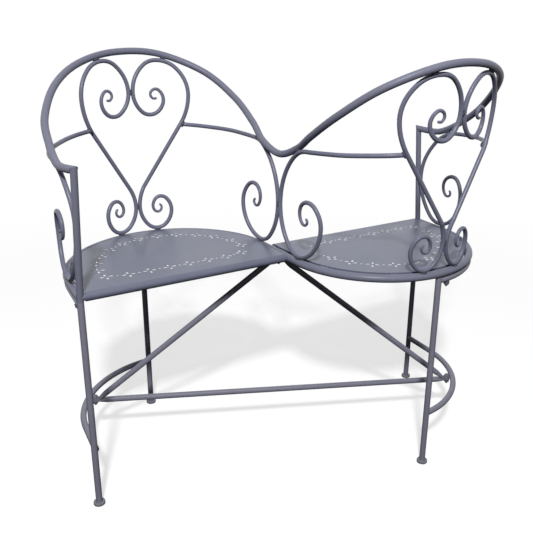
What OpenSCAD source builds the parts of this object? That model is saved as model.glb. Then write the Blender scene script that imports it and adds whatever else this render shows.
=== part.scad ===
// Two-seat garden bench on an S-shaped plan: tubular frame, pierced sheet seats, scrolled backs.
// Seat A is on the -X side and faces -Y. Seat B is seat A turned half a turn about the vertical axis.
// Millimetres, +Z up, floor at z = 0, the middle of the S above the origin.

/* [Plan of the seat rim] */
// height of the rim tube's centreline
rim_z = 434; // [380:1:500]
// outside diameter of the rim tube
rim_d = 16; // [14:0.5:20]
// radius of the back arc
back_r = 200; // [185:1:215]
// radius of the side arc
side_r = 238; // [228:1:250]
// angle at which the back arc runs into the side arc
blend_a = 110; // [105:1:115]
// angle by which the side splays outwards at the front
flare_a = 5; // [2:0.5:8]
// half the length of the straight middle stretch
mid_y = 71; // [62:1:80]
// distance of the front tube's centreline from the middle
front_y = 34; // [28:1:40]

/* [Tubes] */
// wall of every tube
wall = 1.5; // [1:0.1:2]
// diameter of the front tubes
front_d = 14; // [12:0.5:16]
// diameter of the legs, leg arcs and curved stretchers
leg_d = 12.5; // [11:0.5:15]
// diameter of the arm posts
post_d = 12.5; // [11:0.5:15]
// diameter of the braces and of the long stretcher
brace_d = 12.6; // [11:0.2:15]
// diameter of the top rail
rail_d = 14.4; // [12:0.2:16]
// gap left between neighbouring pieces
fit = 0.3; // [0.2:0.05:0.4]

/* [Top rail] */
// height of the rail where it meets the arm post
arm_z = 661; // [640:1:690]
// how far the arm post leans forward
post_fwd = 17; // [10:1:22]
// how far the arm post leans inward
post_in = 5; // [2:1:8]

/* [Scroll rods] */
// diameter of the scroll rods
rod_d = 8.8; // [7:0.2:10]
// diameter of a rod at its forged tip
tip_d = 5; // [4:0.5:6]
// length over which a rod tapers to its tip
taper_l = 90; // [40:5:140]
// distance of the heart's axis from the middle, along the rim
heart_c = 380; // [370:1:390]
// height where the lower halves of a heart touch
heart_low_z = 499; // [490:1:510]
// height where the upper halves of a heart touch
heart_top_z = 747; // [735:1:755]
// how far the heart's foot is turned towards the arm
heart_tilt = 6; // [0:0.5:8]
// height of the bar where it meets the heart
bar_z = 676; // [665:1:690]

/* [Seat panels] */
// thickness of the seat sheet
sheet_t = 1.5; // [1:0.1:2]
// gap between the sheet's edge and the rim tube
sheet_gap = 1; // [0.6:0.1:3]
// depth of the lip that is turned down along the sheet's curved edge
lip_h = 6; // [4:0.5:8]
// distance of the flower border inside the rim's centreline
border_in = 55; // [48:1:62]
// spacing of the flowers along the back
flower_pitch = 44; // [40:1:46]
// spacing of the flowers along the front
row_pitch = 41; // [38:1:43]
// length of a petal
petal_l = 8; // [6:0.5:9]
// width of a petal
petal_w = 4.5; // [3:0.5:5]
// distance of a petal's middle from the flower's middle
petal_out = 9; // [8:0.5:11]
// diameter of the hole between two flowers
dot_d = 4; // [3:0.5:6]
// width of a support tab under the sheet
tab_w = 18; // [12:1:24]

/* [Legs and stretchers] */
// angle of the back leg on the back arc
back_leg_a = 90; // [86:1:94]
// diameter of a foot
foot_d = 22.4; // [18:0.2:28]
// height of a foot
foot_h = 6.5; // [5:0.5:9]
// height of the curved stretcher's centreline
stretch_z = 118; // [100:1:140]
// how far the curved stretcher lies inside the rim's line
stretch_in = 4; // [3:0.5:5]
// how far the curved stretcher's ends stop short of the legs' centrelines
stretch_short = 6; // [5:0.5:7]
// angle of the end bolt on the side arc
end_a = 143; // [138:1:148]
// distance of the end bolt inside the curved stretcher's centreline
end_in = 11; // [10.8:0.2:14]
// how far the end tab's top lies below the curved stretcher's centreline
tab_drop = 2; // [1:0.5:3]
// thickness of the tabs and of the flattened tube ends
flat_t = 3; // [2.5:0.1:4]
// width of the flattened tube ends
flat_w = 14; // [13:0.5:14]
// length of a flattened end behind its bolt
flat_l = 8; // [7:1:12]
// length over which a tube is pressed flat
press_l = 24; // [16:1:30]

/* [Fasteners] */
// diameter of bolts and studs
bolt_d = 6; // [5:0.5:8]
// clearance of a bolt in its hole
bolt_play = 0.6; // [0.4:0.1:1]
// diameter of a washer
washer_d = 13; // [11:0.5:16]
// thickness of a washer
washer_t = 1.2; // [0.8:0.1:1.6]
// width of a nut across its flats
nut_w = 10; // [9:0.5:13]
// height of the nut's hexagon
nut_h = 4; // [3:0.5:6]
// height of the pointed cap on a nut
cap_h = 4.5; // [3:0.5:6]
// height of a bolt head
head_h = 3.5; // [3:0.5:5]
// distance of a frame stud from its leg
stud_off = 24; // [20:1:30]

/* [Hidden] */
rim_r = rim_d / 2;
leg_r = leg_d / 2;
post_r = post_d / 2;
rail_r = rail_d / 2;
brace_r = brace_d / 2;
rod_r = rod_d / 2;
eps = 0.01;
// width of the seam between two stretches of a tube
seam = 0.05;
paint = "#83838f";
steel = "#6f6f7a";
rubber = "#5a5a62";

// the plan curve: c runs along the rim from the middle of the S to seat A's front corner
back_c = [-back_r, mid_y];
blend_v = [cos(blend_a), sin(blend_a)];
side_c = back_c - (side_r - back_r) * blend_v;
side_a = 180 - flare_a;
side_p = side_c + side_r * [cos(side_a), sin(side_a)];
side_l = (side_p.y + front_y) / cos(flare_a);
side_v = [-sin(flare_a), -cos(flare_a)];
corner = side_p + side_l * side_v;
back_end = mid_y + back_r * blend_a * PI / 180;
side_end = back_end + side_r * (side_a - blend_a) * PI / 180;
corner_c = side_end + side_l;

function plan_a(c) = c < mid_y ? 0
  : c < back_end ? (c - mid_y) / back_r * 180 / PI
  : c < side_end ? blend_a + (c - back_end) / side_r * 180 / PI
  : side_a;
function plan_n(c) = [cos(plan_a(c)), sin(plan_a(c)), 0];
function plan_p(c) = c < mid_y ? [0, c]
  : c < back_end ? back_c + back_r * [cos(plan_a(c)), sin(plan_a(c))]
  : c < side_end ? side_c + side_r * [cos(plan_a(c)), sin(plan_a(c))]
  : side_p + (c - side_end) * side_v;
function at(c, z, out) = [plan_p(c).x, plan_p(c).y, z] + out * plan_n(c);

// how far the back leans out over the rim, as a share of the height above it: [distance along the rim, share]
heart_lean = [[260, 0.118], [325, 0.118], [heart_c, 0.08], [450, 0.071], [520, 0.073]];
inner_lean = [[0, 0], [60, 0], [95, 0.021], [145, 0.054], [185, 0.098], [225, 0.108], [260, 0.125], [290, 0.126]];
outer_lean = [[475, 0.067], [520, 0.052], [600, 0.027], [680, 0.02], [745, 0.013], [785, -0.012], [812, -0.058]];
// how far the outer C-scroll stands outside the rim at seat height
outer_shift = [[560, -1], [600, 0], [680, 6], [750, 3], [785, 3], [812, 2.2]];

// the rail over seat A, from the arm post to the middle: [distance along the rim, height, lean outwards]
rail_marks = [
  [790, 659, 4.5],
  [762, 664, 9],
  [714, 685, 9],
  [650, 724, 14],
  [568, 774, 19],
  [486, 810, 28],
  [405, 830, 37],
  [324, 827, 50],
  [244, 790, 52],
  [178, 739, 35],
  [113, 694, 9],
  [57, 663, -5],
];
rail_mid_z = 644;

// the arm post's axis, from the bottom of the rim to the rail
post_foot = [corner.x, corner.y, rim_z - rim_r];
post_top = [corner.x + post_in, corner.y - post_fwd, arm_z];
post_v = (post_top - post_foot) / norm(post_top - post_foot);

// bends of a scroll: [radius, turn in degrees], turns to the left are positive
// C-scroll of a bar, from its bottom outwards to the tip
c_tail = [[57, 45], [82, 45], [51, 45], [26, 45], [29, 45], [24, 45], [27, 45], [11, 45], [10, 45], [7, 45], [6, 80]];
// heart, from the low touch down to the tip
heart_tail = [
  [62, 45], [28, 45], [27, 45], [45, 45], [37, 45], [18, 45], [14, 45],
  [24, 45], [16, 45], [8, 45], [8, 45], [10, 45], [8, 70],
];
// heart, from the upper touch inwards to the tip
heart_volute = [
  [59, 45], [23, 45], [22, 45], [35, 45], [29, 45], [8, 45],
  [10, 45], [11, 45], [11, 45], [6, 45], [6, 50],
];
// heart, from the upper touch over the lobe to the straight
heart_lobe = [[80, -45], [33, -45], [47, -45], [88, -45], [131, -30.5]];
heart_bend = [[84, -30.5]];

function bend_to(p, h, b, k, n) =
  let (s = sign(b[1]), c = p + b[0] * s * [-sin(h), cos(h)], e = h + b[1] * k / n)
  c + b[0] * s * [sin(e), -cos(e)];
function bend_n(b) = ceil(abs(b[1]) / 15);
function chain(p, h, bends, i = 0) = i == len(bends) ? []
  : let (b = bends[i], n = bend_n(b))
  concat([for (k = [1 : n]) bend_to(p, h, b, k, n)], chain(bend_to(p, h, b, n, n), h + b[1], bends, i + 1));
function back_to_front(v) = [for (i = [len(v) - 1 : -1 : 0]) v[i]];

touch = rod_r + fit / 2;
lobe_run = chain([touch, heart_top_z], 90, heart_lobe);
bend_run = chain([touch, heart_low_z], 90, heart_bend);
lobe_end = lobe_run[len(lobe_run) - 1];
bend_end = bend_run[len(bend_run) - 1];
heart_half = concat(
  back_to_front(chain([touch, heart_top_z], -90, heart_volute)),
  [[touch, heart_top_z]],
  lobe_run,
  back_to_front(bend_run),
  [[touch, heart_low_z]],
  chain([touch, heart_low_z], -90, heart_tail)
);

// a bar scroll: from the tip round the C, up its back and along the bar to the heart
c_low = rim_z + rim_r + touch + fit / 2;
c_rise = [[51, -45], [113, -45]];
c_shoulder = [[137, -45], [84, -40]];
c_bottom = touch + c_rise[0][0] * sin(45) + c_rise[1][0] * (1 - cos(45));
c_loop = concat(
  back_to_front(chain([c_bottom, c_low], 0, c_tail)),
  [[c_bottom, c_low]],
  [for (q = chain([0, 0], 180, c_rise)) [c_bottom + q.x, c_low + q.y]]
);
c_top = c_loop[len(c_loop) - 1];
c_turn = chain(c_top, 90, c_shoulder);
bar_from = c_turn[len(c_turn) - 1];

function bar_run(to_c, n) = [for (k = [1 : n]) bar_from + [to_c - bar_from.x, bar_z - bar_from.y] * k / n];
function on_back(path, lean, shift) = [for (q = path)
  at(q.x, q.y, lookup(q.x, shift) + lookup(q.x, lean) * (q.y - rim_z))];
no_shift = [[0, 0], [1, 0]];

// smooth curve through given points
function spline(a, b, c, d, t) =
  0.5 * (2 * b + (c - a) * t + (2 * a - 5 * b + 4 * c - d) * t * t + (3 * b - a - 3 * c + d) * t * t * t);
function smooth(p, n) = concat([for (i = [0 : len(p) - 2]) for (k = [0 : n - 1])
  spline(p[max(i - 1, 0)], p[i], p[i + 1], p[min(i + 2, len(p) - 1)], k / n)], [p[len(p) - 1]]);
function half_turn(p) = [-p.x, -p.y, p.z];
rail_half = concat([post_top], [for (m = rail_marks) at(m[0], m[1], m[2])]);
rail_line = smooth(concat(rail_half, [[0, 0, rail_mid_z]],
  back_to_front([for (p = rail_half) half_turn(p)])), 4);

// sweeps of a round section along a path; n gives a direction square to the path at each point
function unit(v) = v / norm(v);
function heading(p, i) = unit(p[min(i + 1, len(p) - 1)] - p[max(i - 1, 0)]);
function square_to(t, n) = unit(n - (n * t) * t);
function run_to(p, i) = i == 0 ? 0 : run_to(p, i - 1) + norm(p[i] - p[i - 1]);
module tube_mesh(rings) {
  n = len(rings);
  m = len(rings[0]);
  polyhedron(
    [for (r = rings) each r],
    concat(
      [[for (j = [0 : m - 1]) j]],
      [[for (j = [m - 1 : -1 : 0]) (n - 1) * m + j]],
      [for (i = [0 : n - 2]) for (j = [0 : m - 1]) [i * m + j, (i + 1) * m + j, (i + 1) * m + (j + 1) % m]],
      [for (i = [0 : n - 2]) for (j = [0 : m - 1]) [i * m + j, (i + 1) * m + (j + 1) % m, i * m + (j + 1) % m]]
    )
  );
}
function ring(p, t, u, r, m) = [for (j = [0 : m - 1]) p + r * (cos(360 * j / m) * u + sin(360 * j / m) * cross(t, u))];

rod_sides = 8;
// cut is the slope of the far end's face; without one the rod tapers to a tip there too
module scroll_rod(path, lean, shift, cut) {
  p = on_back(path, lean, shift);
  last = len(p) - 1;
  length = run_to(p, last);
  rings = [for (i = [0 : last])
    let (
      t = heading(p, i),
      u = square_to(t, plan_n(path[i].x)),
      a = run_to(p, i),
      d = cut == 0 ? min(a, length - a) : a,
      r = lookup(d, [[0, tip_d / 2], [taper_l, rod_r]]),
      skew = i == last ? tan(cut) : 0
    )
    [for (q = ring(p[i], t, u, r, rod_sides)) q - t * (q.z - p[i].z) * skew]];
  tube_mesh(rings);
}

rail_sides = 16;
module rail_solid(r, sides, short) {
  n = len(rail_line) - 1;
  rings = [for (i = [0 : n])
    let (
      t = i == 0 ? unit(rail_line[1] - rail_line[0]) : i == n ? unit(rail_line[n] - rail_line[n - 1]) : heading(rail_line, i),
      u = square_to(t, [0, 0, 1]),
      base = ring(rail_line[i], t, u, r, sides),
      m = i == 0 ? unit(t + post_v) : i == n ? unit(t - half_axis) : t
    )
    // the end rings lie in the mitre plane with the post
    [for (q = base) q - t * (((q - rail_line[i]) * m) / (t * m)) + t * (i == 0 ? short : i == n ? -short : 0)]];
  tube_mesh(rings);
}
half_axis = [-post_v.x, -post_v.y, post_v.z];

module top_rail() {
  color(paint)
  difference() {
    rail_solid(rail_r, rail_sides, 0);
    rail_solid(rail_r - wall, rail_sides / 2, 2 * wall);
  }
}

// lays a cylinder's axis from one point to another
module from_to(a, b) {
  v = b - a;
  translate(a)
    rotate([0, acos(v.z / norm(v)), atan2(v.y, v.x)])
      children();
}
module arm_post() {
  run = norm(post_top - post_foot);
  m = unit(unit(rail_line[1] - rail_line[0]) + post_v);
  color(paint)
  difference() {
    from_to(post_foot, post_top) {
      difference() {
        cylinder(h = run + post_d, r = post_r, $fn = 72);
        translate([0, 0, wall])
          cylinder(h = run - post_d - wall, r = post_r - wall, $fn = 72);
      }
    }
    // level foot and mitred head
    translate(post_foot + [0, 0, -post_d])
      cube([4 * post_d, 4 * post_d, 2 * post_d], center = true);
    from_to(post_top - m * fit, post_top - m * fit + m)
      translate([-post_d * 2, -post_d * 2, 0])
        cube(post_d * 4);
  }
}
module post_space(gap) {
  from_to(post_foot - 40 * post_v, post_top)
    cylinder(h = 200, r = post_r + gap, $fn = 72);
}

module tube_bar(l, d) {
  difference() {
    cylinder(h = l, d = d, $fn = 72);
    translate([0, 0, wall])
      cylinder(h = l - 2 * wall, d = d - 2 * wall, $fn = 72);
  }
}
module ring_arc(r, d, from, to) {
  rotate_extrude(angle = to - from, start = from, $fn = 144)
    translate([r, 0])
      difference() {
        circle(d = d, $fn = 72);
        circle(d = d - 2 * wall, $fn = 72);
      }
}
module open_tube(l, d) {
  difference() {
    cylinder(h = l, d = d, $fn = 72);
    translate([0, 0, -1])
      cylinder(h = l + 2, d = d - 2 * wall, $fn = 72);
  }
}
// plug inside two tube stretches that meet end to end, square to a radius at an angle
module spigot(p, z, d, angle) {
  translate([p.x, p.y, z])
    rotate([90, 0, angle])
      cylinder(h = d, d = d - wall, center = true, $fn = 72);
}
// tube on the plan curve from an angle on the back arc to the front corner
module plan_tube(z, d, from, in = 0) {
  bend_p = side_p - in * [cos(side_a), sin(side_a)];
  translate([back_c.x, back_c.y, z])
    ring_arc(back_r - in, d, from, blend_a - seam / back_r * 180 / PI);
  translate([side_c.x, side_c.y, z])
    ring_arc(side_r - in, d, blend_a, side_a - seam / side_r * 180 / PI);
  translate([bend_p.x, bend_p.y, z])
    rotate([90, 0, -flare_a])
      open_tube(side_l, d);
  spigot(back_c + (back_r - in) * blend_v, z, d, blend_a);
  spigot(bend_p, z, d, side_a);
}
module seat_rim() {
  color(paint)
  union() {
    translate([0, mid_y - seam, rim_z])
      rotate([90, 0, 0])
        open_tube(2 * (mid_y - seam), rim_d);
    both_seats() {
      difference() {
        plan_tube(rim_z, rim_d, 0);
        post_space(fit);
      }
      spigot([0, mid_y], rim_z, rim_d, 0);
    }
  }
}
module front_tube() {
  color(paint)
  translate([corner.x, corner.y, rim_z])
    difference() {
      rotate([0, 90, 0])
        difference() {
          cylinder(h = -corner.x, d = front_d, $fn = 72);
          translate([0, 0, post_d])
            cylinder(h = -corner.x - post_d - rim_d, d = front_d - 2 * wall, $fn = 72);
        }
      translate([-corner.x, 0, 0])
        rotate([90, 0, 0])
          cylinder(h = 4 * rim_d, r = rim_r + fit, center = true, $fn = 72);
      translate(-[corner.x, corner.y, rim_z])
        post_space(fit);
    }
}

// sheet outline: the plan curve moved inwards
inset = rim_r + sheet_gap;
module sheet_plan(in) {
  wedge = 2 * side_r;
  intersection() {
    translate(back_c)
      circle(r = back_r - in, $fn = 144);
    translate(back_c)
      polygon([[0, 0], [wedge, 0], [wedge, wedge], wedge * 2 * blend_v]);
  }
  intersection() {
    translate(side_c)
      circle(r = side_r - in, $fn = 144);
    translate(side_c)
      polygon([[0, 0], wedge * 2 * blend_v, [-wedge, wedge], wedge * [cos(side_a), sin(side_a)]]);
  }
  polygon([
    side_c + (side_r - in) * [cos(side_a), sin(side_a)],
    [corner.x + in / cos(flare_a), corner.y],
    [-in, corner.y],
    [-in, mid_y],
    back_c,
    side_c,
  ]);
}
module petals() {
  for (q = [0 : 90 : 270])
    rotate(q)
      translate([petal_out, 0]) {
        square([petal_l - petal_w, petal_w], center = true);
        for (e = [-1, 1])
          translate([e * (petal_l - petal_w) / 2, 0])
            circle(d = petal_w, $fn = 36);
      }
}
// place on the back border at distance t from where the back arc starts: [x, y, turn]
border_back = (back_r - border_in) * blend_a * PI / 180;
function border(t) =
  let (
    a = t < 0 ? 0 : t < border_back ? t / (back_r - border_in) * 180 / PI
      : blend_a + (t - border_back) / (side_r - border_in) * 180 / PI,
    p = t < 0 ? [-border_in, mid_y + t]
      : t < border_back ? back_c + (back_r - border_in) * [cos(a), sin(a)]
      : side_c + (side_r - border_in) * [cos(a), sin(a)]
  ) [p.x, p.y, a];
back_flowers = 12;
row_flowers = 8;
row_y = 12;
row_end_y = 20;
row_x = -366;
border_from = -7;
function row_spot(i) = [row_x + row_pitch * i, i <= 0 || i >= row_flowers - 1 ? row_end_y : row_y, 0];
module pierced() {
  for (i = [0 : back_flowers - 1]) {
    b = border(border_from + flower_pitch * i);
    translate([b.x, b.y])
      rotate(b[2])
        petals();
    if (i > 0) {
      d = border(border_from + flower_pitch * (i - 0.5));
      translate([d.x, d.y])
        circle(d = dot_d, $fn = 36);
    }
  }
  for (i = [0 : row_flowers - 1]) {
    r = row_spot(i);
    translate([r.x, r.y])
      petals();
    if (i > 0)
      translate([(r.x + row_spot(i - 1).x) / 2, (r.y + row_spot(i - 1).y) / 2])
        circle(d = dot_d, $fn = 36);
  }
}
roll_r = front_d / 2 + fit;
sheet_z = rim_z + roll_r;
tab_angles = [20, 62, 150];
module tab_strips(w) {
  for (a = tab_angles)
    translate(a < blend_a ? back_c : side_c)
      rotate(a)
        translate([0, -w / 2])
          square([2 * side_r, w]);
}
module seat_panel() {
  roll_l = -corner.x - 2 * inset;
  color(paint)
  difference() {
    union() {
      translate([0, 0, sheet_z])
        linear_extrude(sheet_t)
          difference() {
            sheet_plan(inset);
            pierced();
          }
      translate([0, 0, sheet_z - lip_h])
        linear_extrude(lip_h + eps)
          difference() {
            sheet_plan(inset);
            sheet_plan(inset + sheet_t);
            tab_strips(tab_w + 2 * fit);
            translate([corner.x, corner.y - front_d])
              square([-corner.x, 2 * front_d]);
          }
      // the front edge is rolled over the front tube
      translate([corner.x + inset, corner.y, rim_z])
        rotate([90, 0, 90])
          linear_extrude(roll_l)
            difference() {
              circle(r = roll_r + sheet_t, $fn = 72);
              circle(r = roll_r, $fn = 72);
              translate([0, -2 * roll_r])
                square(4 * roll_r);
            }
    }
    post_space(fit);
  }
}

// support tabs under the sheet, on the inside of the rim
module panel_tabs() {
  color(paint)
  for (a = tab_angles) {
    c = a < blend_a ? back_c : side_c;
    r = a < blend_a ? back_r : side_r;
    translate([c.x, c.y, sheet_z - fit - flat_t])
      rotate(a)
        translate([r - rim_r - tab_w, -tab_w / 2, 0])
          difference() {
            cube([tab_w + rim_r, tab_w, flat_t]);
            translate([tab_w + rim_r, tab_w / 2, rim_z - sheet_z + fit + flat_t])
              rotate([90, 0, 0])
                cylinder(h = 2 * tab_w, r = rim_r + fit, center = true, $fn = 72);
          }
  }
}

function tilt_at(z) = heart_tilt * (heart_top_z - z) / (heart_top_z - heart_low_z);
module heart_half_rod(side) {
  color(paint)
    scroll_rod([for (q = heart_half) [heart_c + side * q.x + tilt_at(q.y), q.y]], heart_lean, no_shift, 0);
}
// the bars stop short of the sloping heart rods by a rod's half width, their ends cut to the same slope
slope_v = lobe_end - bend_end;
heart_slope = atan2(slope_v.x, slope_v.y);
heart_axis_c = heart_c + tilt_at(bar_z);
bar_gap = bend_end.x + slope_v.x * (bar_z - bend_end.y) / slope_v.y + (rod_r + fit) / cos(heart_slope);
module inner_bar_scroll() {
  color(paint)
    scroll_rod(concat(c_loop, c_turn, bar_run(heart_axis_c - bar_gap, 9)), inner_lean, no_shift, heart_slope);
}
outer_c = 816.8;
module outer_bar_scroll() {
  reach = outer_c - heart_axis_c - bar_gap;
  color(paint)
    scroll_rod([for (q = concat(c_loop, c_turn, bar_run(reach, 12))) [outer_c - q.x, q.y]],
      outer_lean, outer_shift, heart_slope);
}

// legs
leg_top = rim_z - rim_r - fit;
leg_front = [corner.x, corner.y];
leg_back = back_c + back_r * [cos(back_leg_a), sin(back_leg_a)];
module leg(p) {
  color(paint)
  translate([p.x, p.y, foot_h - 3 + fit])
    tube_bar(leg_top - foot_h + 3 - fit, leg_d);
}
module foot(p) {
  color(rubber)
  translate([p.x, p.y, 0])
    rotate_extrude($fn = 72)
      difference() {
        union() {
          square([foot_d / 2 - 1.5, foot_h]);
          translate([0, 1.5])
            square([foot_d / 2, foot_h - 3]);
          for (y = [1.5, foot_h - 1.5])
            translate([foot_d / 2 - 1.5, y])
              circle(r = 1.5, $fn = 36);
        }
        translate([0, foot_h - 3])
          square([leg_r + fit, foot_h]);
        translate([0, -foot_h])
          square([foot_d, foot_h]);
        translate([-foot_d, -foot_h])
          square([foot_d, 3 * foot_h]);
      }
}

arc_z = leg_top - leg_r;
stud_front_c = corner_c - stud_off;
stud_back_c = mid_y + (back_leg_a * PI / 180) * back_r + stud_off;
module stud_spots() {
  for (c = [stud_front_c, stud_back_c])
    translate([plan_p(c).x, plan_p(c).y, 0])
      children();
}
module leg_holes() {
  for (p = [leg_front, leg_back])
    translate([p.x, p.y, 0])
      cylinder(h = 2 * rim_z, r = leg_r + fit, $fn = 72);
}
module leg_arc() {
  color(paint)
  difference() {
    plan_tube(arc_z, leg_d, back_leg_a);
    leg_holes();
    stud_spots()
      cylinder(h = 2 * rim_z, d = bolt_d + bolt_play, $fn = 36);
  }
}
module curved_stretcher() {
  start_a = back_leg_a + stretch_short / back_r * 180 / PI;
  color(paint)
  difference() {
    plan_tube(stretch_z, leg_d, start_a, stretch_in);
    leg_holes();
    translate([corner.x - 2 * leg_d, corner.y - leg_d, stretch_z - leg_d])
      cube([4 * leg_d, leg_d + stretch_short, 2 * leg_d]);
  }
}

// the end bolt's place and the pieces stacked on it
stretch_r = side_r - stretch_in;
end_p = side_c + (stretch_r - end_in) * [cos(end_a), sin(end_a)];
tab_top = stretch_z - tab_drop;
tab_low = tab_top - flat_t;
brace_low = tab_low - fit - flat_t;
long_top = brace_low - fit;
tab_end = end_in - sqrt(leg_r * leg_r - tab_drop * tab_drop) - fit;
nut_top = long_top - flat_t - fit;
module stretcher_tab() {
  color(paint)
  translate([end_p.x, end_p.y, tab_low])
    rotate(end_a)
      linear_extrude(flat_t)
        difference() {
          union() {
            intersection() {
              circle(d = flat_w, $fn = 72);
              translate([-flat_w, -flat_w])
                square([flat_w + tab_end, 2 * flat_w]);
            }
            translate([0, -flat_w / 2])
              square([tab_end, flat_w]);
          }
          circle(d = bolt_d + bolt_play, $fn = 36);
        }
}

// a tube of length l along X whose ends are pressed flat; drop lowers the flats to one side of the axis
module pressed_profile(l) {
  polygon([
    [0, -flat_t / 2], [0, flat_t / 2],
    [press_l, brace_r + eps], [l - press_l, brace_r + eps],
    [l, flat_t / 2], [l, -flat_t / 2],
    [l - press_l, -brace_r - eps], [press_l, -brace_r - eps],
  ]);
}
module pressed_tube(l) {
  difference() {
    intersection() {
      rotate([0, 90, 0])
        cylinder(h = l, r = brace_r, $fn = 72);
      translate([0, 2 * brace_r, 0])
        rotate([90, 0, 0])
          linear_extrude(4 * brace_r)
            pressed_profile(l);
    }
    translate([press_l, 0, 0])
      rotate([0, 90, 0])
        cylinder(h = l - 2 * press_l, r = brace_r - wall, $fn = 72);
  }
}
module flat_end(l) {
  difference() {
    union() {
      cylinder(h = flat_t, d = flat_w, $fn = 72);
      translate([0, -flat_w / 2, 0])
        cube([l, flat_w, flat_t]);
    }
    translate([0, 0, -flat_t])
      cylinder(h = 3 * flat_t, d = bolt_d + bolt_play, $fn = 36);
  }
}
module long_stretcher() {
  half = norm(end_p);
  color(paint)
  rotate(atan2(end_p.y, end_p.x)) {
    translate([-half + flat_l, 0, long_top - flat_t / 2])
      pressed_tube(2 * (half - flat_l));
    for (turn = [0, 180])
      rotate(turn)
        translate([-half, 0, long_top - flat_t])
          flat_end(flat_l + eps);
  }
}

// centre stud: the two braces end here, one flat over the other
centre_top = rim_z - rim_r - fit;
module brace(level) {
  half = norm(end_p);
  top = centre_top - fit - level * (flat_t + fit);
  rise = top - flat_t / 2 - (brace_low + flat_t / 2);
  run = half - 2 * flat_l;
  slope = atan2(rise, run);
  color(paint)
  rotate(atan2(end_p.y, end_p.x)) {
    translate([half, 0, brace_low])
      rotate(180)
        flat_end(flat_l);
    translate([half - flat_l, 0, brace_low + flat_t / 2])
      rotate([0, slope, 180])
        rotate([0, -2 * slope, 0])
          pressed_tube(norm([run, rise]));
    translate([0, 0, top - flat_t])
      flat_end(flat_l);
  }
}

module washer() {
  difference() {
    cylinder(h = washer_t, d = washer_d, $fn = 72);
    translate([0, 0, -washer_t])
      cylinder(h = 3 * washer_t, d = bolt_d + bolt_play, $fn = 36);
  }
}
// pointed nut that hangs from its top face
module cap_nut() {
  translate([0, 0, -nut_h])
    difference() {
      cylinder(h = nut_h, d = nut_w / cos(30), $fn = 6);
      translate([0, 0, -nut_h])
        cylinder(h = 3 * nut_h, d = bolt_d + bolt_play, $fn = 36);
    }
  translate([0, 0, -nut_h - cap_h])
    cylinder(h = cap_h, d1 = bolt_d / 2, d2 = nut_w, $fn = 72);
}
stack_low = arc_z - leg_r - fit;
module both_seats() {
  for (turn = [0, 180])
    rotate([0, 0, turn])
      children();
}
module frame_studs() {
  color(steel)
  both_seats()
    stud_spots()
      translate([0, 0, stack_low - washer_t - nut_h + fit])
        cylinder(h = leg_top - stack_low + washer_t + nut_h - fit, d = bolt_d, $fn = 36);
}
module frame_washers() {
  color(steel)
  both_seats()
    stud_spots()
      translate([0, 0, stack_low - washer_t])
        washer();
}
module frame_nuts() {
  color(steel)
  both_seats()
    stud_spots()
      translate([0, 0, stack_low - washer_t - fit])
        cap_nut();
}
module stretcher_bolts() {
  top = tab_top + fit;
  low = nut_top - washer_t - fit - nut_h;
  color(steel)
  both_seats()
    translate([end_p.x, end_p.y, 0]) {
      translate([0, 0, low + fit])
        cylinder(h = top - low - fit + eps, d = bolt_d, $fn = 36);
      translate([0, 0, top])
        cylinder(h = head_h, d1 = 2 * bolt_d, d2 = 1.4 * bolt_d, $fn = 72);
    }
}
module stretcher_washers() {
  color(steel)
  both_seats()
    translate([end_p.x, end_p.y, nut_top - washer_t])
      washer();
}
module stretcher_nuts() {
  color(steel)
  both_seats()
    translate([end_p.x, end_p.y, nut_top - washer_t - fit])
      cap_nut();
}
centre_low = centre_top - 2 * (flat_t + fit) - fit;
module centre_stud() {
  color(steel)
  translate([0, 0, centre_low - washer_t - nut_h])
    cylinder(h = centre_top - centre_low + washer_t + nut_h, d = bolt_d, $fn = 36);
}
module centre_washer() {
  color(steel)
  translate([0, 0, centre_low - washer_t])
    washer();
}
module centre_nut() {
  color(steel)
  translate([0, 0, centre_low - washer_t - fit])
    cap_nut();
}
module seat_b() {
  rotate([0, 0, 180])
    children();
}

top_rail();
arm_post();  // left_arm_post
seat_b() arm_post();  // right_arm_post
seat_rim();
front_tube();  // left_front_tube
seat_b() front_tube();  // right_front_tube
seat_panel();  // left_seat_panel
seat_b() seat_panel();  // right_seat_panel
panel_tabs();  // left_panel_tabs
seat_b() panel_tabs();  // right_panel_tabs
heart_half_rod(-1);  // left_heart_inner_scroll
heart_half_rod(1);  // left_heart_outer_scroll
seat_b() heart_half_rod(-1);  // right_heart_inner_scroll
seat_b() heart_half_rod(1);  // right_heart_outer_scroll
inner_bar_scroll();  // left_inner_bar_scroll
outer_bar_scroll();  // left_outer_bar_scroll
seat_b() inner_bar_scroll();  // right_inner_bar_scroll
seat_b() outer_bar_scroll();  // right_outer_bar_scroll
leg(leg_front);  // left_front_leg
leg(leg_back);  // left_back_leg
seat_b() leg(leg_front);  // right_front_leg
seat_b() leg(leg_back);  // right_back_leg
foot(leg_front);  // left_front_foot
foot(leg_back);  // left_back_foot
seat_b() foot(leg_front);  // right_front_foot
seat_b() foot(leg_back);  // right_back_foot
leg_arc();  // left_leg_arc
seat_b() leg_arc();  // right_leg_arc
curved_stretcher();  // left_curved_stretcher
seat_b() curved_stretcher();  // right_curved_stretcher
stretcher_tab();  // left_stretcher_tab
seat_b() stretcher_tab();  // right_stretcher_tab
long_stretcher();
brace(0);  // left_brace
seat_b() brace(1);  // right_brace
frame_studs();
frame_washers();
frame_nuts();
stretcher_bolts();
stretcher_washers();
stretcher_nuts();
centre_stud();
centre_washer();
centre_nut();
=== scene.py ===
import bpy
import numpy as np
from mathutils import Matrix


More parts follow.
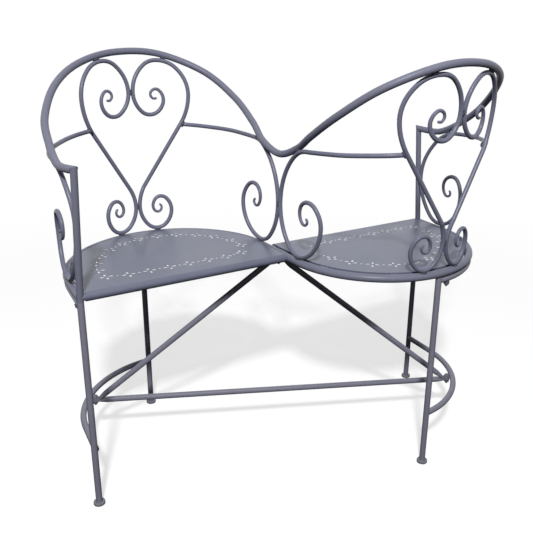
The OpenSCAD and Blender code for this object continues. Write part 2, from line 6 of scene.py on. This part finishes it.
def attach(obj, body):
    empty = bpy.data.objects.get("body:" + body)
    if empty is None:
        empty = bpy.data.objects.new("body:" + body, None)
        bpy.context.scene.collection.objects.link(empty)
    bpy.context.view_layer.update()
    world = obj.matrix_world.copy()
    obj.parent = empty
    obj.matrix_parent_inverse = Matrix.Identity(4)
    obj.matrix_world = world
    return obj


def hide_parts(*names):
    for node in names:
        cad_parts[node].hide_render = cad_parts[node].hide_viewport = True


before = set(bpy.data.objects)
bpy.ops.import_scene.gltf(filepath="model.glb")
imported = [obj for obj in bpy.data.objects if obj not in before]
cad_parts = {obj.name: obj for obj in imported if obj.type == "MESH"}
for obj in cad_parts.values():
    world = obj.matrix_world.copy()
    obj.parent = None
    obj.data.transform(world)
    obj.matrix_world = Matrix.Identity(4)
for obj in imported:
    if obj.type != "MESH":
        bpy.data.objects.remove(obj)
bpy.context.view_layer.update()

# Camera
# A normal lens 0.9 m above the floor, in front of the seat that faces -Y, turned right towards the middle
# of the bench and looking down on both seats. The picture is square. Lengths are in metres, turns in
# radians.
eye = (-0.72978, -1.14541, 0.88058)
turn_right, look_down, roll = 0.5861, 0.3378, 0.0151
ahead = np.array([np.sin(turn_right), np.cos(turn_right), 0.0])
level = np.array([np.cos(turn_right), -np.sin(turn_right), 0.0])
forward = ahead * np.cos(look_down) - [0.0, 0.0, np.sin(look_down)]
down = np.cross(forward, level)
right = level * np.cos(roll) - down * np.sin(roll)
up = -(level * np.sin(roll) + down * np.cos(roll))


def placed(side, over, back, place):
    """Matrix of an object at a place whose own X, Y and Z point along side, over and back."""
    return Matrix([[side[i], over[i], back[i], place[i]] for i in range(3)] + [[0, 0, 0, 1]])


scene = bpy.context.scene
lens = bpy.data.cameras.new("camera")
lens.sensor_width = 36.0
lens.lens = 45.58
lens.shift_x = -0.0452
lens.clip_end = 60.0
camera = bpy.data.objects.new("camera", lens)
camera.matrix_world = placed(right, up, -forward, eye)
scene.collection.objects.link(camera)
bpy.context.scene.camera = camera

# Room
# A white studio: an even sky, a weak softbox over the bench, a small strong one high at the front left
# and a wide one behind that lights the backs. Direct views, reflections and anything see-through meet
# plain white at strength 1.
sky_level = 0.15
plain_white = (1, 1, 1, 1)
scene.view_settings.view_transform = "Standard"


def add(tree, kind, settings=None, sockets=None):
    """Adds a node: settings are its attributes, and each socket gets a value or a link from an output."""
    node = tree.nodes.new(kind)
    for name, value in (settings or {}).items():
        setattr(node, name, value)
    for name, value in (sockets or {}).items():
        if isinstance(value, bpy.types.NodeSocket):
            tree.links.new(value, node.inputs[name])
        else:
            node.inputs[name].default_value = value
    return node


def seen(tree):
    """1 for a ray from the camera, off a gloss or through glass, otherwise 0: the largest of three flags."""
    flags = add(tree, "ShaderNodeLightPath").outputs
    bounced = add(tree, "ShaderNodeMath", {"operation": "MAXIMUM"},
                  {0: flags["Is Glossy Ray"], 1: flags["Is Transmission Ray"]})
    return add(tree, "ShaderNodeMath", {"operation": "MAXIMUM"},
               {0: flags["Is Camera Ray"], 1: bounced.outputs[0]}).outputs[0]


world = bpy.data.worlds.new("white_room")
world.use_nodes = True
tree = world.node_tree
tree.nodes.clear()
sky = add(tree, "ShaderNodeBackground", {}, {"Color": plain_white, "Strength": sky_level})
white = add(tree, "ShaderNodeBackground", {}, {"Color": plain_white, "Strength": 1.0})
pick = add(tree, "ShaderNodeMixShader", {}, {0: seen(tree), 1: sky.outputs[0], 2: white.outputs[0]})
add(tree, "ShaderNodeOutputWorld", {}, {"Surface": pick.outputs[0]})
scene.world = world


def unit(v):
    """Vectors brought to length 1: each divided by its own length."""
    return v / np.linalg.norm(v, axis=-1, keepdims=True)


def softbox(name, place, aim, size, watts):
    """A square lamp at a place whose face looks at the aim."""
    data = bpy.data.lights.new(name, "AREA")
    data.shape = "SQUARE"
    data.size = size
    data.energy = watts
    back = unit(np.array(place) - np.array(aim))
    off_axis = [0.0, 1.0, 0.1]    # a direction that no lamp looks along
    side = unit(np.cross(off_axis, back))
    lamp = bpy.data.objects.new(name, data)
    lamp.matrix_world = placed(side, np.cross(back, side), back, place)
    scene.collection.objects.link(lamp)
    return lamp


softbox("overhead_softbox", place=(-0.3, -0.2, 2.9), aim=(0, 0, 0.4), size=1.5, watts=6)
softbox("front_softbox", place=(-1.4, -2.1, 2.7), aim=(0, 0, 0.3), size=0.25, watts=112)
behind = softbox("back_softbox", place=(1.7, 2.5, 1.7), aim=(0, 0, 0.3), size=1.6, watts=50)
behind.visible_glossy = False    # or the seats would mirror it towards the camera

# Floor
# A pale studio floor that takes the soft shadow of the bench and runs out to the white of the room.
# What it throws back on the undersides is that of a dark grey floor, because a real studio floor throws
# back far less than the white that the camera sees.
floor_half = 14.0
fade_from, fade_to = 0.9, 2.4
white_share = 0.68


def linear(code):
    """sRGB hex colour as linear red, green, blue and a full alpha: the sRGB curve taken back."""
    c = np.array([int(code[i:i + 2], 16) for i in (1, 3, 5)]) / 255
    return (*np.where(c <= 0.04045, c / 12.92, ((c + 0.055) / 1.055) ** 2.4).tolist(), 1.0)


def mesh_object(name, points, quads, triangles=None):
    """A smooth object at the origin from arrays of points, of quads and, if it has any, of triangles."""
    mesh = bpy.data.meshes.new(name)
    mesh.from_pydata(points.tolist(), [], quads.tolist() + ([] if triangles is None else triangles.tolist()))
    mesh.shade_smooth()
    piece = bpy.data.objects.new(name, mesh)
    scene.collection.objects.link(piece)
    return piece


corners = np.array([[-1, -1, 0], [1, -1, 0], [1, 1, 0], [-1, 1, 0]]) * floor_half
floor = mesh_object("floor", corners, np.array([[0, 1, 2, 3]]))
floor_paint = bpy.data.materials.new("matt_studio_floor")
floor_paint.use_nodes = True
tree = floor_paint.node_tree
tree.nodes.clear()
camera_ray = add(tree, "ShaderNodeLightPath").outputs["Is Camera Ray"]
pale = add(tree, "ShaderNodeBsdfDiffuse", {}, {"Color": linear("#fbfbfb"), "Roughness": 1.0})
grey = add(tree, "ShaderNodeBsdfDiffuse", {}, {"Color": linear("#2c2c2c"), "Roughness": 1.0})
glow = add(tree, "ShaderNodeEmission", {}, {"Color": plain_white, "Strength": 1.0})
place = add(tree, "ShaderNodeTexCoord").outputs["Object"]
reach = add(tree, "ShaderNodeVectorMath", {"operation": "LENGTH"}, {0: place})
fade = add(tree, "ShaderNodeMapRange", {"interpolation_type": "SMOOTHSTEP"},
           {"Value": reach.outputs["Value"], "From Min": fade_from, "From Max": fade_to})
washed = add(tree, "ShaderNodeMixShader", {}, {0: white_share, 1: pale.outputs[0], 2: glow.outputs[0]})
near = add(tree, "ShaderNodeMixShader", {}, {0: camera_ray, 1: grey.outputs[0], 2: washed.outputs[0]})
far_seen = add(tree, "ShaderNodeMath", {"operation": "MULTIPLY"}, {0: fade.outputs["Result"], 1: seen(tree)})
both = add(tree, "ShaderNodeMixShader", {}, {0: far_seen.outputs[0], 1: near.outputs[0], 2: glow.outputs[0]})
add(tree, "ShaderNodeOutputMaterial", {}, {"Surface": both.outputs[0]})
floor.data.materials.append(floor_paint)

# Seat rim, front tubes and arm posts
# Bent and straight mild steel tube, welded and then powder coated: a grey with a violet cast, satin,
# with the fine orange peel of a baked powder and a slightly uneven film.
seats = ("left", "right")


def powder_coat(name, shade, gloss=0.4, film=0.03, peel=0.0018, shine=0.2, waves=None, pale=None):
    """Baked powder on steel. The colour drifts by the film's unevenness over a hand's width, the roughness
    drifts with it, and the surface carries orange peel of the given grain. waves adds the slow
    hollows of thin sheet as (length, height), and pale is (function, colour): where the function's
    output is 1 the colour is replaced by painted light of that colour."""
    drift_l, mottle_l, mottle_share = 0.09, 0.006, 0.2
    peel_h = 0.000006
    coat = bpy.data.materials.new(name)
    coat.use_nodes = True
    tree = coat.node_tree
    tree.nodes.clear()
    place = add(tree, "ShaderNodeTexCoord").outputs["Object"]
    drift = add(tree, "ShaderNodeTexNoise", {}, {"Vector": place, "Scale": 1 / drift_l, "Detail": 3.0})
    mottle = add(tree, "ShaderNodeTexNoise", {}, {"Vector": place, "Scale": 1 / mottle_l, "Detail": 4.0})
    both = add(tree, "ShaderNodeMath", {"operation": "MULTIPLY_ADD"},
               {0: mottle.outputs[0], 1: mottle_share, 2: drift.outputs[0]})
    span = {"Value": both.outputs[0], "From Min": 0.4, "From Max": 0.8}
    swing = add(tree, "ShaderNodeMapRange", {}, {**span, "To Min": 1 - film, "To Max": 1 + film})
    rough = add(tree, "ShaderNodeMapRange", {}, {**span, "To Min": gloss - 0.05, "To Max": gloss + 0.06})
    colour = add(tree, "ShaderNodeHueSaturation", {},
                 {"Color": linear(shade), "Value": swing.outputs[0]}).outputs[0]
    if pale:
        colour = add(tree, "ShaderNodeMix", {"data_type": "RGBA"},
                     {0: pale[0](tree, place), 6: colour, 7: linear(pale[1])}).outputs[2]
    grain = add(tree, "ShaderNodeTexNoise", {}, {"Vector": place, "Scale": 1 / peel, "Detail": 2.0})
    bump = add(tree, "ShaderNodeBump", {}, {"Height": grain.outputs[0], "Strength": 1.0, "Distance": peel_h})
    if waves:
        slow = add(tree, "ShaderNodeTexNoise", {}, {"Vector": place, "Scale": 1 / waves[0], "Detail": 1.0})
        bump = add(tree, "ShaderNodeBump", {}, {"Height": slow.outputs[0], "Normal": bump.outputs[0],
                                                "Strength": 1.0, "Distance": waves[1]})
    skin = add(tree, "ShaderNodeBsdfPrincipled", {}, {
        "Base Color": colour, "Roughness": rough.outputs[0], "Normal": bump.outputs[0],
        "IOR": 1.5, "Specular IOR Level": shine})
    add(tree, "ShaderNodeOutputMaterial", {}, {"Surface": skin.outputs[0]})
    return coat


def finish_nodes(material, *names):
    """Puts one material in every slot of the named CAD pieces."""
    for name in names:
        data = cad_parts[name].data
        data.materials.clear()
        data.materials.append(material)


def on_both(*names):
    """The named pieces of both seats."""
    return [f"{s}_{name}" for s in seats for name in names]


tube_coat = powder_coat("powder_coated_steel_tube", "#707283")
finish_nodes(tube_coat, "seat_rim", *on_both("front_tube", "arm_post", "panel_tabs"))

# Seat panels
# Thin steel sheet, half-round, its front edge rolled over the front tube and flowers pierced round
# it. The sheet is sprung between its tabs, so its coat mirrors the back in slow hollows. The flowers'
# walls are painted pale: painted light, for the white floor's light falling on them through the holes.
back_r, side_r, mid_y = 0.200, 0.238, 0.071
blend_a = np.radians(110)
blend_v = np.array([np.cos(blend_a), np.sin(blend_a)])
back_c = np.array([-back_r, mid_y])
side_c = back_c - (side_r - back_r) * blend_v
sheet_z, hole_zone, upright = 0.4415, 0.945, 0.3


# The pale colour that this mask puts on the flowers' walls is painted light: the white floor's light on
# them, seen through the holes.
def painted_light_flower_walls(tree, place):
    """1 on the upright walls of the pierced flowers: above the sheet's underside, and within the given share
    of the seat's radius. The seat is drawn from two arcs that meet at the blend angle, and seat B's
    places are turned onto seat A by the sign of x."""
    at = add(tree, "ShaderNodeSeparateXYZ", {}, {0: place}).outputs
    sign = add(tree, "ShaderNodeMath", {"operation": "SIGN"}, {0: at["X"]})
    turn = add(tree, "ShaderNodeMath", {"operation": "MULTIPLY"}, {0: sign.outputs[0], 1: -1.0}).outputs[0]
    half = add(tree, "ShaderNodeCombineXYZ", {}, {0: turn, 1: turn}).outputs[0]
    spot = add(tree, "ShaderNodeVectorMath", {"operation": "MULTIPLY"}, {0: place, 1: half}).outputs[0]
    shares = []
    for centre, radius in ((back_c, back_r), (side_c, side_r)):
        arm = add(tree, "ShaderNodeVectorMath", {"operation": "DISTANCE"}, {0: spot, 1: (*centre, 0.0)})
        part = add(tree, "ShaderNodeMath", {"operation": "DIVIDE"}, {0: arm.outputs["Value"], 1: radius})
        shares.append(part.outputs[0])
    across = (-blend_v[1], blend_v[0], 0.0)
    past = add(tree, "ShaderNodeVectorMath", {"operation": "DOT_PRODUCT"}, {0: spot, 1: across})
    wide = add(tree, "ShaderNodeMath", {"operation": "GREATER_THAN"},
               {0: past.outputs["Value"], 1: float(back_c @ across[:2])})
    share = add(tree, "ShaderNodeMix", {}, {0: wide.outputs[0], 2: shares[0], 3: shares[1]})
    normal = add(tree, "ShaderNodeNewGeometry").outputs["True Normal"]
    rise = add(tree, "ShaderNodeSeparateXYZ", {}, {0: normal}).outputs["Z"]
    slope = add(tree, "ShaderNodeMath", {"operation": "ABSOLUTE"}, {0: rise})
    edge = add(tree, "ShaderNodeMath", {"operation": "LESS_THAN"}, {0: slope.outputs[0], 1: upright})
    above = add(tree, "ShaderNodeMath", {"operation": "GREATER_THAN"}, {0: at["Z"], 1: sheet_z})
    inside = add(tree, "ShaderNodeMath", {"operation": "LESS_THAN"}, {0: share.outputs[0], 1: hole_zone})
    for flag in (above, inside):
        edge = add(tree, "ShaderNodeMath", {"operation": "MULTIPLY"},
                   {0: edge.outputs[0], 1: flag.outputs[0]})
    return edge.outputs[0]


# The pale on the pierced flowers' walls is painted light, not a colour of the coat.
sheet_coat = powder_coat("powder_coated_steel_sheet", "#64687a", gloss=0.36, film=0.04, shine=0.45,
                         waves=(0.12, 0.0012), pale=(painted_light_flower_walls, "#f0f0f4"))
finish_nodes(sheet_coat, *on_both("seat_panel"))

# Legs, leg arcs, stretchers and braces
# The same tube in a smaller size. The leg frames are bolted up under the rim, and their coat is a
# little paler and less blue than the top's.
leg_coat = powder_coat("powder_coated_steel_legs", "#7c7c8b")
finish_nodes(leg_coat, "long_stretcher",
             *on_both("front_leg", "back_leg", "leg_arc", "curved_stretcher", "stretcher_tab", "brace"))

# Foot caps
# Caps of soft plastic, moulded with a dished top and pushed on the legs' ends. The moulded skin is
# duller than the baked coat and has a finer grain.
cap_skin = powder_coat("moulded_foot_cap", "#7a7a84", gloss=0.55, film=0.07, peel=0.0009)
finish_nodes(cap_skin, *on_both("front_foot", "back_foot"))

# Bolts, washers and cap nuts
# Turned and pressed steel, screwed up through the tubes and painted with the frame. Their coat is a
# little darker and less even than the tubes'.
bolt_paint = powder_coat("painted_fastener", "#6a6a74", gloss=0.38, film=0.08, peel=0.0009)
finish_nodes(bolt_paint, *[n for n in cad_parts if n.startswith(("frame_", "stretcher_", "centre_"))])

# Heart scrolls
# Each back has a heart of two round rods, bent cold round formers and drawn thinner towards their
# curled tips. The two rods touch at the top and at the foot and are welded there.
MM = 0.001
rim_z, rim_r, rod_r, tip_r, taper = 0.434, 0.008, 0.0044, 0.0025, 0.090
front_y, flare, side_a = 0.034, np.radians(5), np.radians(175)
side_p = side_c + side_r * np.array([np.cos(side_a), np.sin(side_a)])
back_end = mid_y + back_r * blend_a
side_end = back_end + side_r * (side_a - blend_a)
gap = 0.00015
touch = rod_r + gap
heart_c, heart_low, heart_top, heart_tilt = 0.380, 0.499, 0.747, 0.006
heart_tail = [[62, 45], [28, 45], [27, 45], [45, 45], [37, 45], [18, 45], [14, 45],
              [24, 45], [16, 45], [8, 45], [8, 45], [10, 45], [8, 70]]
heart_volute = [[59, 45], [23, 45], [22, 45], [35, 45], [29, 45], [8, 45],
                [10, 45], [11, 45], [11, 45], [6, 45], [6, 50]]
heart_lobe = [[80, -45], [33, -45], [47, -45], [88, -45], [131, -30.5]]
heart_foot = [[84, -30.5]]
heart_lean = np.array([[0.260, 0.118], [0.325, 0.118], [0.380, 0.08], [0.450, 0.071], [0.520, 0.073]])


def on_rim(c, z, out):
    """A point over the rim's S: c runs along the rim from the middle, first straight, then round the back
    arc, the wider side arc and straight again to the front; out is the distance outside that line.
    Returns the points and the outward directions."""
    c, z, out = np.broadcast_arrays(np.asarray(c, float), np.asarray(z, float), np.asarray(out, float))
    runs = [c < mid_y, c < back_end, c < side_end]
    a = np.select(runs, [0, (c - mid_y) / back_r, blend_a + (c - back_end) / side_r], side_a)
    n = np.stack([np.cos(a), np.sin(a)], -1)
    forwards = np.array([np.cos(side_a + np.pi / 2), np.sin(side_a + np.pi / 2)])
    p = np.select([run[..., None] for run in runs],
                  [np.stack([np.zeros_like(c), c], -1), back_c + back_r * n, side_c + side_r * n],
                  side_p + (c - side_end)[..., None] * forwards)
    points = np.concatenate([p + out[..., None] * n, z[..., None]], -1)
    return points, np.concatenate([n, np.zeros_like(c)[..., None]], -1)


def bends(x, z, heading, steps):
    """Points along tangent arcs from (x, z): each step is a former's radius in millimetres and a turn in
    degrees, left positive, and starts where the one before ends. Every second degree has a point."""
    points = [np.array([[x, z]])]
    p, h = np.array([x, z]), np.radians(heading)
    for radius, turn in steps:
        s = np.sign(turn)
        centre = p + s * radius * MM * np.array([-np.sin(h), np.cos(h)])
        e = h + np.radians(np.linspace(0, turn, max(2, int(abs(turn) / 2)))[1:])
        arc = centre + s * radius * MM * np.stack([np.sin(e), -np.cos(e)], -1)
        points.append(arc)
        p, h = arc[-1], e[-1]
    return np.concatenate(points)


def soften(values, width):
    """Running mean over width points that leaves the ends in place."""
    padded = np.pad(values, (width // 2, width // 2), "edge")
    return np.convolve(padded, np.ones(width) / width, "valid")[:len(values)]


def on_back(c, z, lean, shift=0.0):
    """A bend drawn on the flat back, laid on the curved one: it leans out over the rim by a share of its
    height, and the share changes along the rim."""
    return on_rim(c, z, shift + soften(np.interp(c, lean[:, 0], lean[:, 1]), width=9) * (z - rim_z))


def tilt_at(z):
    """How far the heart's axis has turned towards the arm: nothing at its top, the full tilt at its foot."""
    return heart_tilt * (heart_top - z) / (heart_top - heart_low)


def sweep(line, side, radius, sides=24, start_cut=None, end_cut=None, closed=False):
    """A round section carried along a line: at each point a circle square to the line's tangent, its first
    direction the given side made square to it. The end circles may be slid along the tangent into a
    cutting plane, and end in a centre point. Returns points, quads and triangles."""
    t = unit(np.roll(line, -1, 0) - np.roll(line, 1, 0) if closed else np.gradient(line, axis=0))
    u = unit(side - (side * t).sum(1, keepdims=True) * t)
    w = np.cross(t, u)
    angle = np.linspace(0, 2 * np.pi, sides, endpoint=False)
    ring = u[:, None] * np.cos(angle)[:, None] + w[:, None] * np.sin(angle)[:, None]
    ring = ring * np.broadcast_to(radius, len(line))[:, None, None]
    for i, cut in ((0, start_cut), (-1, end_cut)):
        if cut is not None:
            ring[i] -= t[i] * ((ring[i] @ cut) / (t[i] @ cut))[:, None]
    points = (line[:, None] + ring).reshape(-1, 3)
    n = len(line)
    i, j = np.meshgrid(np.arange(n if closed else n - 1), np.arange(sides), indexing="ij")
    k, l = (i + 1) % n, (j + 1) % sides
    quads = np.stack([i * sides + j, i * sides + l, k * sides + l, k * sides + j], -1).reshape(-1, 4)
    if closed:
        return points, quads, np.zeros((0, 3), int)
    j = np.arange(sides)
    l = (j + 1) % sides
    start, end = n * sides, n * sides + 1
    last = (n - 1) * sides
    triangles = np.concatenate([np.stack([np.full(sides, start), l, j], -1),
                                np.stack([np.full(sides, end), last + j, last + l], -1)])
    return np.concatenate([points, line[[0, -1]]]), quads, triangles


def length_along(line):
    """Distance from the line's start to each of its points."""
    return np.concatenate([[0], np.cumsum(np.linalg.norm(np.diff(line, axis=0), axis=1))])


def forged_rod(line, side, tips):
    """A rod along a line, with a ring every 1.5 mm and closer ones at its ends. It is thinner over the taper
    towards each end that is a tip, and rounded off there like a dome, whose radius is the root of 1
    less the square of the share of its depth still to go. Other ends stay square and full."""
    ring_step, close_step, close_rings, point_share = 0.0015, 0.0005, 8, 0.02
    s = length_along(line)
    end = np.cumsum(np.linspace(0.0, close_step, close_rings))
    middle = np.arange(end[-1] + ring_step, s[-1] - end[-1] - ring_step, ring_step)
    marks = np.concatenate([end, middle, s[-1] - end[::-1]])
    line = np.stack([np.interp(marks, s, line[:, i]) for i in range(3)], -1)
    side = np.stack([np.interp(marks, s, side[:, i]) for i in range(3)], -1)
    radius = np.full(len(marks), rod_r)
    for run, is_tip in ((marks, tips[0]), (s[-1] - marks, tips[1])):
        if is_tip:
            thin = tip_r + (rod_r - tip_r) * np.clip(run / taper, 0, 1)
            dome = np.sqrt(np.clip(1 - (1 - np.clip(run / tip_r, 0, 1)) ** 2, point_share ** 2, 1))
            radius = np.minimum(radius, thin * dome)
    return sweep(line, side, radius)


def add_piece(name, shape, material, slot, *nodes):
    """Makes a piece that rides with the bench, and stands for the named CAD nodes if there are any."""
    piece = mesh_object(name, *shape)
    piece.data.materials.append(material)
    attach(piece, "root")
    if nodes:
        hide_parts(*nodes)


def place_on_seats(name, shape, material, slot, *nodes):
    """Builds a piece of seat A as it is and one of seat B turned half a turn, each for its CAD nodes."""
    points, quads, triangles = shape
    for s, half in zip(seats, (1, -1)):
        turned = (points * [half, half, 1], quads, triangles)
        add_piece(f"{s}_{name}_rod", turned, material, slot, *[f"{s}_{n}" for n in nodes])


rod_coat = powder_coat("powder_coated_steel_rod", "#6b6d80", gloss=0.3, peel=0.0015)
lobe = bends(touch, heart_top, 90, heart_lobe)
foot_bend = bends(touch, heart_low, 90, heart_foot)
heart_half = np.concatenate([bends(touch, heart_top, -90, heart_volute)[:0:-1], lobe, foot_bend[::-1],
                             bends(touch, heart_low, -90, heart_tail)[1:]])
heart_lines = []
for name, half in (("heart_inner_scroll", -1), ("heart_outer_scroll", 1)):
    x, z = heart_half.T
    line, side = on_back(heart_c + half * x + tilt_at(z), z, heart_lean)
    place_on_seats(name, forged_rod(line, side, tips=(True, True)), rod_coat, "scroll_coat", name)
    heart_lines.append(line)
inner_heart, outer_heart = heart_lines

# Bar scrolls
# One rod each: a curled tip, a C that stands on the rim, and a level arm that runs to the heart,
# where it is butted and welded. The C next to the arm post leans against the post.
bar_z = 0.676
c_low = rim_z + rim_r + touch + gap
c_tail = [[57, 45], [82, 45], [51, 45], [26, 45], [29, 45], [24, 45],
          [27, 45], [11, 45], [10, 45], [7, 45], [6, 80]]
c_rise = [[51, -45], [113, -45]]
c_shoulder = [[137, -45], [84, -40]]
c_bottom = touch + MM * (c_rise[0][0] * np.sin(np.pi / 4) + c_rise[1][0] * (1 - np.cos(np.pi / 4)))
inner_lean = np.array([[0, 0], [60, 0], [95, 0.021], [145, 0.054], [185, 0.098],
                       [225, 0.108], [260, 0.125], [290, 0.126]]) * [MM, 1]
outer_lean = np.array([[475, 0.067], [520, 0.052], [600, 0.027], [680, 0.02],
                       [745, 0.013], [785, -0.012], [812, -0.058]]) * [MM, 1]
outer_shift = np.array([[560, -1], [600, 0], [680, 6], [750, 3], [785, 3], [812, 2.2]]) * MM
no_shift = np.array([[0, 0]])
outer_c = 0.8168
bar_marks = 60
rise = bends(c_bottom, c_low, 180, c_rise)
shoulder = bends(*rise[-1], 90, c_shoulder)
c_scroll = np.concatenate([bends(c_bottom, c_low, 0, c_tail)[:0:-1], rise, shoulder[1:]])
slope = lobe[-1] - foot_bend[-1]
axis_c = heart_c + tilt_at(bar_z)
rod_side = (rod_r + 2 * gap) / np.cos(np.arctan2(slope[0], slope[1]))
stop = foot_bend[-1, 0] + slope[0] * (bar_z - foot_bend[-1, 1]) / slope[1] + rod_side


def bar_scroll(name, reach, lean, shift, from_c, way):
    """One bar scroll: the C and a straight bar to the reach, both drawn from from_c along the rim in the
    given way, 1 or -1. Returns the rod's line."""
    flat = np.concatenate([c_scroll, np.linspace(c_scroll[-1], [reach, bar_z], bar_marks)[1:]])
    c = from_c + way * flat[:, 0]
    line, side = on_back(c, flat[:, 1], lean, soften(np.interp(c, shift[:, 0], shift[:, 1]), width=15))
    place_on_seats(name, forged_rod(line, side, tips=(True, False)), rod_coat, "scroll_coat", name)
    return line


inner_bar = bar_scroll("inner_bar_scroll", axis_c - stop, inner_lean, no_shift, from_c=0.0, way=1)
outer_bar = bar_scroll("outer_bar_scroll", outer_c - axis_c - stop, outer_lean, outer_shift,
                       from_c=outer_c, way=-1)

# Top rail
# One long tube over both backs, rolled on a bender, high over each back, low in the middle and mitred
# to the arm posts. It is 0.4 mm thinner than its CAD piece, so that the smooth tube stays in its box.
rail_r = 0.0070
post_in, post_fwd, arm_z, dip_z = 0.005, 0.017, 0.661, 0.644
post_l = (side_p[1] + front_y) / np.cos(flare)
post_foot = np.array([*(side_p + post_l * np.array([-np.sin(flare), -np.cos(flare)])), rim_z - rim_r])
post_top = np.array([post_foot[0] + post_in, post_foot[1] - post_fwd, arm_z])
rail_marks = np.array([[790, 659, 4.5], [762, 664, 9], [714, 685, 9], [650, 724, 14],
                       [568, 774, 19], [486, 810, 28], [405, 830, 37], [324, 827, 50],
                       [244, 790, 52], [178, 739, 35], [113, 694, 9], [57, 663, -5]]) * MM
half_turn = np.array([-1.0, -1.0, 1.0])


def through(marks, steps):
    """Smooth line through marks: between two marks the cubic whose end slopes are half the span of their
    neighbours on either side."""
    p = np.concatenate([marks[:1], marks, marks[-1:]])
    t = (np.arange(steps) / steps)[:, None]
    a, b, c, d = p[:-3, None], p[1:-2, None], p[2:-1, None], p[3:, None]
    square, cube = 2 * a - 5 * b + 4 * c - d, 3 * b - a - 3 * c + d
    curve = 0.5 * (2 * b + (c - a) * t + square * t ** 2 + cube * t ** 3)
    return np.concatenate([curve.reshape(-1, 3), marks[-1:]])


marks = np.concatenate([[post_top], on_rim(*rail_marks.T)[0]])
rail_line = through(np.concatenate([marks, [[0, 0, dip_z]], marks[::-1] * half_turn]), steps=14)
mitre = unit(rail_line[1] - rail_line[0]) + unit(post_top - post_foot)
upwards = np.tile([0.0, 0.0, 1.0], (len(rail_line), 1))
rail_shape = sweep(rail_line, upwards, rail_r, sides=36, start_cut=mitre, end_cut=mitre * half_turn)
add_piece("top_rail_tube", rail_shape, tube_coat, "frame_coat", "top_rail")

# Welds
# Short hand-laid beads of steel where the scrolls meet each other, the rail, the rim and the post, and
# rings round the bars' butted ends. They are rippled and coated with the frame, in a darker grey that
# is painted shade: the shade that falls in the valleys where the tubes touch.
bead_r, bead_l, bead_step = 0.0021, 0.013, 0.0003
ripple_l, ripple_h, bead_point = 0.0016, 0.09, 0.03
ring_r, ring_over = 0.0017, 0.0004
valley = 0.62
foot_zone, top_zone = (rim_z, 0.56), (0.72, 1.0)
rim_marks, post_marks = 400, 200
# The beads' darker grey is painted shade, for the valleys between the touching tubes.
painted_shade_weld_coat = powder_coat("weld_bead_painted_shade", "#484955", gloss=0.45, film=0.06, peel=0.0012)


def rippled(length, radius, closed=False):
    """Steps along a bead and its radius there: waves of one ripple's length, and domed ends unless it closes
    on itself."""
    s = np.linspace(0, length, int(length / bead_step) + 1)[:-1 if closed else None]
    wave = radius * (1 + ripple_h * np.sin(2 * np.pi * s / ripple_l))
    return s, wave if closed else wave * np.sqrt(np.clip(1 - (2 * s / length - 1) ** 4, bead_point ** 2, 1))


def nearest(a, b):
    """The two points of two lines that lie nearest each other, with the lines' tangents there."""
    i, j = np.unravel_index(np.argmin(((a[:, None] - b[None]) ** 2).sum(-1)), (len(a), len(b)))
    ways = [line[min(k + 1, len(line) - 1)] - line[max(k - 1, 0)] for line, k in ((a, i), (b, j))]
    return a[i], b[j], *unit(np.array(ways))


def side_beads(a, b, a_r, b_r):
    """Two beads along the valleys on both sides of the place where two round sections touch: each lies
    beside the contact, by a share of the thinner section's radius, along the mean of the two tangents."""
    p, q, t, v = nearest(a, b)
    along = unit(t + np.sign(t @ v) * v)
    out = np.cross(along, unit(q - p))
    middle = p + (q - p) * a_r / (a_r + b_r)
    s, radius = rippled(bead_l, bead_r)
    return [sweep(middle + way * valley * min(a_r, b_r) * out + (s - bead_l / 2)[:, None] * along,
                  np.tile(out, (len(s), 1)), radius, sides=12) for way in (1, -1)]


def ring_bead(centre, axis, radius, cut):
    """A bead round a section: a circle square to the axis, slid along it into a cutting plane."""
    axis = unit(axis)
    s, wave = rippled(2 * np.pi * radius, ring_r, closed=True)
    off_axis = [0.31, 0.17, 0.93]    # a direction that no bar runs along
    u = unit(np.cross(axis, off_axis))
    line = radius * (u * np.cos(s / radius)[:, None] + np.cross(axis, u) * np.sin(s / radius)[:, None])
    line = line - axis * ((line @ cut) / (axis @ cut))[:, None]
    return sweep(centre + line, np.tile(axis, (len(s), 1)), wave, sides=12, closed=True)


def joined(shapes):
    """Several shapes as one: the numbers in each one's faces go up by the points of those before it."""
    first = np.cumsum([0] + [len(points) for points, quads, triangles in shapes])
    return (np.concatenate([points for points, quads, triangles in shapes]),
            np.concatenate([quads + n for n, (points, quads, triangles) in zip(first, shapes)]),
            np.concatenate([triangles + n for n, (points, quads, triangles) in zip(first, shapes)]))


def stretch_of(line, lowest, highest):
    """The points of a line between two heights."""
    return line[(line[:, 2] > lowest) & (line[:, 2] < highest)]


rim_line = on_rim(np.linspace(0, side_end, rim_marks), rim_z, 0)[0]
post_line = np.linspace(post_foot, post_top, post_marks)
beads = []
for heart in heart_lines:
    beads += side_beads(heart, rail_line, rod_r, rail_r) + side_beads(heart, rim_line, rod_r, rim_r)
for zone in (foot_zone, top_zone):
    beads += side_beads(stretch_of(inner_heart, *zone), stretch_of(outer_heart, *zone), rod_r, rod_r)
for bar, heart in ((inner_bar, inner_heart), (outer_bar, outer_heart)):
    beads += side_beads(bar, rim_line, rod_r, rim_r) + side_beads(bar, rail_line, rod_r, rail_r)
    bar_way, heart_way = bar[-1] - bar[-3], nearest(bar, heart)[3]
    cut = np.cross(heart_way, np.cross(bar_way, heart_way))
    beads.append(ring_bead(bar[-1], bar_way, rod_r + ring_over, cut))
beads += side_beads(outer_bar, post_line, rod_r, rim_r)
place_on_seats("weld_bead", joined(beads), painted_shade_weld_coat, "scroll_coat")
middle_beads = side_beads(inner_bar, inner_bar * half_turn, rod_r, rod_r)
add_piece("middle_weld_beads", joined(middle_beads), painted_shade_weld_coat, "scroll_coat")
